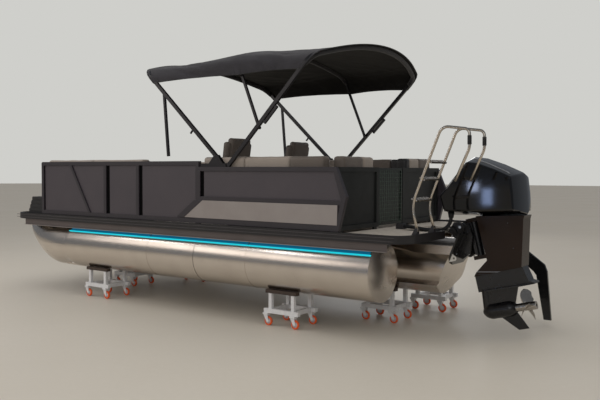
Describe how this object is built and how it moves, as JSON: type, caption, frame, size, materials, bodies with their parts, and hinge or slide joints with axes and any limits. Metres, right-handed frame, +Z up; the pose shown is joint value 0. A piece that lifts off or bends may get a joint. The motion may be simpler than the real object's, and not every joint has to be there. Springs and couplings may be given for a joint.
{
  "type": "pontoon boat",
  "caption": "Pontoon boat on shop dollies, with three tubes, fenced deck, folding canopy, boarding ladder, and an outboard motor that tilts, steers and turns its propeller.",
  "frame": {"origin": "floor under the middle of the boat's overall box", "axes": "+X aft, +Y to starboard, +Z up"},
  "size_m": [7.4596, 2.57, 3.2666],
  "materials": {
    "aluminium_tube": "brushed",
    "structure": "mill finish",
    "transom_plate": "gloss",
    "floor": "woven vinyl",
    "rail_black": "satin",
    "skirt": "satin",
    "light": "lit lens",
    "fence_dark": "satin",
    "panel_grey": "satin",
    "panel_silver": "metallic",
    "stern_dark": "satin",
    "vent": "satin",
    "bench": "satin",
    "cushion_beige": "vinyl",
    "cushion_taupe": "vinyl",
    "console": "gloss",
    "helm": "satin",
    "pedestal": "satin",
    "bow_tube": "satin",
    "canvas": "woven",
    "steel": "polished",
    "grip": "matt",
    "fittings": "satin",
    "engine_gloss": "gloss",
    "engine_paint": "gloss",
    "engine_inner": "as cast",
    "prop_steel": "polished",
    "hose": "matt",
    "anchor": "satin",
    "eye": "satin",
    "dolly_paint": "satin",
    "pad": "matt",
    "wheel": "satin"
  },
  "bodies": {
    "hull": {"port_pontoon": "aluminium_tube", "starboard_pontoon": "aluminium_tube", "centre_pontoon": "aluminium_tube", "motor_pod": "aluminium_tube", "transom": "transom_plate", "cross_channels": "structure", "deck_floor": "floor", "rub_rail": "rail_black", "deck_skirts": "skirt", "light_strips": "light", "port_fence_frame": "fence_dark", "starboard_fence_frame": "fence_dark", "fence_panels": "panel_grey", "accent_panels": "panel_silver", "bow_fence": "fence_dark", "stern_fence": "stern_dark", "bow_vents": "vent", "bench_bases": "bench", "seat_cushions": "cushion_beige", "back_cushions": "cushion_taupe", "helm_console": "console", "chair_pedestals": "pedestal", "bimini_mounts": "bow_tube", "bimini_rear_bow": "bow_tube", "bimini_canopy": "canvas", "stern_fittings": "fittings", "clamp_bracket": "engine_paint", "rigging_hose": "hose", "tow_eyes": "eye", "dolly_frames": "dolly_paint", "dolly_pads": "pad"},
    "bow_gate": {"bow_gate": "fence_dark"},
    "stern_gate": {"stern_gate": "stern_dark"},
    "port_chair": {"port_chair": "cushion_taupe"},
    "starboard_chair": {"starboard_chair": "cushion_taupe"},
    "helm_wheel": {"helm_wheel": "helm"},
    "bimini_front_bow": {"bimini_front_bow": "bow_tube"},
    "bimini_middle_bow": {"bimini_middle_bow": "bow_tube"},
    "ladder": {"ladder": "steel", "ladder_grips": "grip"},
    "engine_swivel": {"swivel_bracket": "engine_paint"},
    "engine": {"engine_midsection": "engine_paint", "gearcase": "engine_paint", "engine_cowl": "engine_gloss", "engine_block": "engine_inner"},
    "propeller": {"propeller": "prop_steel"},
    "anchor_arm": {"anchor_arm": "anchor"},
    "port_front_wheels_fore": {"port_front_wheels_fore": "wheel"},
    "port_front_wheels_aft": {"port_front_wheels_aft": "wheel"},
    "starboard_front_wheels_fore": {"starboard_front_wheels_fore": "wheel"},
    "starboard_front_wheels_aft": {"starboard_front_wheels_aft": "wheel"},
    "centre_front_wheels_fore": {"centre_front_wheels_fore": "wheel"},
    "centre_front_wheels_aft": {"centre_front_wheels_aft": "wheel"},
    "port_rear_wheels_fore": {"port_rear_wheels_fore": "wheel"},
    "port_rear_wheels_aft": {"port_rear_wheels_aft": "wheel"},
    "centre_rear_wheels_fore": {"centre_rear_wheels_fore": "wheel"},
    "centre_rear_wheels_aft": {"centre_rear_wheels_aft": "wheel"},
    "starboard_rear_wheels_fore": {"starboard_rear_wheels_fore": "wheel"},
    "starboard_rear_wheels_aft": {"starboard_rear_wheels_aft": "wheel"}
  },
  "joints": [
    {"name": "engine_tilt", "type": "hinge", "parent": "hull", "child": "engine_swivel", "pos_m": [2.9202, 0, 1.15], "axis": [0, -1, 0], "range_deg": [-10, 45], "deforming": ["rigging_hose"]},
    {"name": "engine_steer", "type": "hinge", "parent": "engine_swivel", "child": "engine", "pos_m": [3.0269, 0, 1.1766], "axis": [-0.2419, 0, 0.9703], "range_deg": [-30, 30], "deforming": ["rigging_hose"]},
    {"name": "propeller_spin", "type": "hinge", "parent": "engine", "child": "propeller", "pos_m": [3.6364, 0, 0.3443], "axis": [0.9703, 0, 0.2419], "continuous": true},
    {"name": "helm_turn", "type": "hinge", "parent": "hull", "child": "helm_wheel", "pos_m": [-0.6706, 0.64, 1.8197], "axis": [0.8858, 0, 0.464], "range_deg": [-720, 720]},
    {"name": "ladder_fold", "type": "hinge", "parent": "hull", "child": "ladder", "pos_m": [2.8202, -0.79, 1.1666], "axis": [0, 1, 0], "range_deg": [0, 135]},
    {"name": "stern_gate_swing", "type": "hinge", "parent": "hull", "child": "stern_gate", "pos_m": [1.9802, 0.216, 1.45], "axis": [0, 0, 1], "range_deg": [-90, 0]},
    {"name": "bow_gate_swing", "type": "hinge", "parent": "hull", "child": "bow_gate", "pos_m": [-2.9718, 0.326, 1.48], "axis": [0, 0, 1], "range_deg": [0, 90]},
    {"name": "bimini_fold", "type": "hinge", "parent": "hull", "child": "bimini_front_bow", "pos_m": [0.3352, 0, 1.9156], "axis": [0, 1, 0], "range_deg": [0, 75], "deforming": ["bimini_canopy"]},
    {"name": "bimini_middle_fold", "type": "hinge", "parent": "hull", "child": "bimini_middle_bow", "pos_m": [0.9364, 0, 2.24], "axis": [0, 1, 0], "range_deg": [0, 51], "deforming": ["bimini_canopy"]},
    {"name": "port_chair_swivel", "type": "hinge", "parent": "hull", "child": "port_chair", "pos_m": [-0.0798, -0.64, 1.49], "axis": [0, 0, 1], "continuous": true},
    {"name": "starboard_chair_swivel", "type": "hinge", "parent": "hull", "child": "starboard_chair", "pos_m": [-0.0798, 0.64, 1.49], "axis": [0, 0, 1], "continuous": true},
    {"name": "anchor_arm_raise", "type": "hinge", "parent": "hull", "child": "anchor_arm", "pos_m": [2.9042, 0.75, 1.01], "axis": [0, -1, 0], "range_deg": [0, 100]},
    {"name": "port_front_wheels_fore_roll", "type": "hinge", "parent": "hull", "child": "port_front_wheels_fore", "pos_m": [-2.1373, -0.949, 0.052], "axis": [0, 1, 0], "continuous": true},
    {"name": "port_front_wheels_aft_roll", "type": "hinge", "parent": "hull", "child": "port_front_wheels_aft", "pos_m": [-1.7623, -0.949, 0.052], "axis": [0, 1, 0], "continuous": true},
    {"name": "starboard_front_wheels_fore_roll", "type": "hinge", "parent": "hull", "child": "starboard_front_wheels_fore", "pos_m": [-2.1373, 0.949, 0.052], "axis": [0, 1, 0], "continuous": true},
    {"name": "starboard_front_wheels_aft_roll", "type": "hinge", "parent": "hull", "child": "starboard_front_wheels_aft", "pos_m": [-1.7623, 0.949, 0.052], "axis": [0, 1, 0], "continuous": true},
    {"name": "centre_front_wheels_fore_roll", "type": "hinge", "parent": "hull", "child": "centre_front_wheels_fore", "pos_m": [-2.6673, 0, 0.052], "axis": [0, 1, 0], "continuous": true},
    {"name": "centre_front_wheels_aft_roll", "type": "hinge", "parent": "hull", "child": "centre_front_wheels_aft", "pos_m": [-2.2923, 0, 0.052], "axis": [0, 1, 0], "continuous": true},
    {"name": "port_rear_wheels_fore_roll", "type": "hinge", "parent": "hull", "child": "port_rear_wheels_fore", "pos_m": [1.0427, -0.949, 0.052], "axis": [0, 1, 0], "continuous": true},
    {"name": "port_rear_wheels_aft_roll", "type": "hinge", "parent": "hull", "child": "port_rear_wheels_aft", "pos_m": [1.4177, -0.949, 0.052], "axis": [0, 1, 0], "continuous": true},
    {"name": "centre_rear_wheels_fore_roll", "type": "hinge", "parent": "hull", "child": "centre_rear_wheels_fore", "pos_m": [1.7627, 0, 0.052], "axis": [0, 1, 0], "continuous": true},
    {"name": "centre_rear_wheels_aft_roll", "type": "hinge", "parent": "hull", "child": "centre_rear_wheels_aft", "pos_m": [2.1377, 0, 0.052], "axis": [0, 1, 0], "continuous": true},
    {"name": "starboard_rear_wheels_fore_roll", "type": "hinge", "parent": "hull", "child": "starboard_rear_wheels_fore", "pos_m": [1.9327, 0.949, 0.052], "axis": [0, 1, 0], "continuous": true},
    {"name": "starboard_rear_wheels_aft_roll", "type": "hinge", "parent": "hull", "child": "starboard_rear_wheels_aft", "pos_m": [2.3077, 0.949, 0.052], "axis": [0, 1, 0], "continuous": true}
  ],
  "couplings": [
    {"joint": "helm_turn", "follows": "engine_steer", "ratio": -24},
    {"joint": "bimini_middle_fold", "follows": "bimini_fold", "ratio": 0.667}
  ]
}
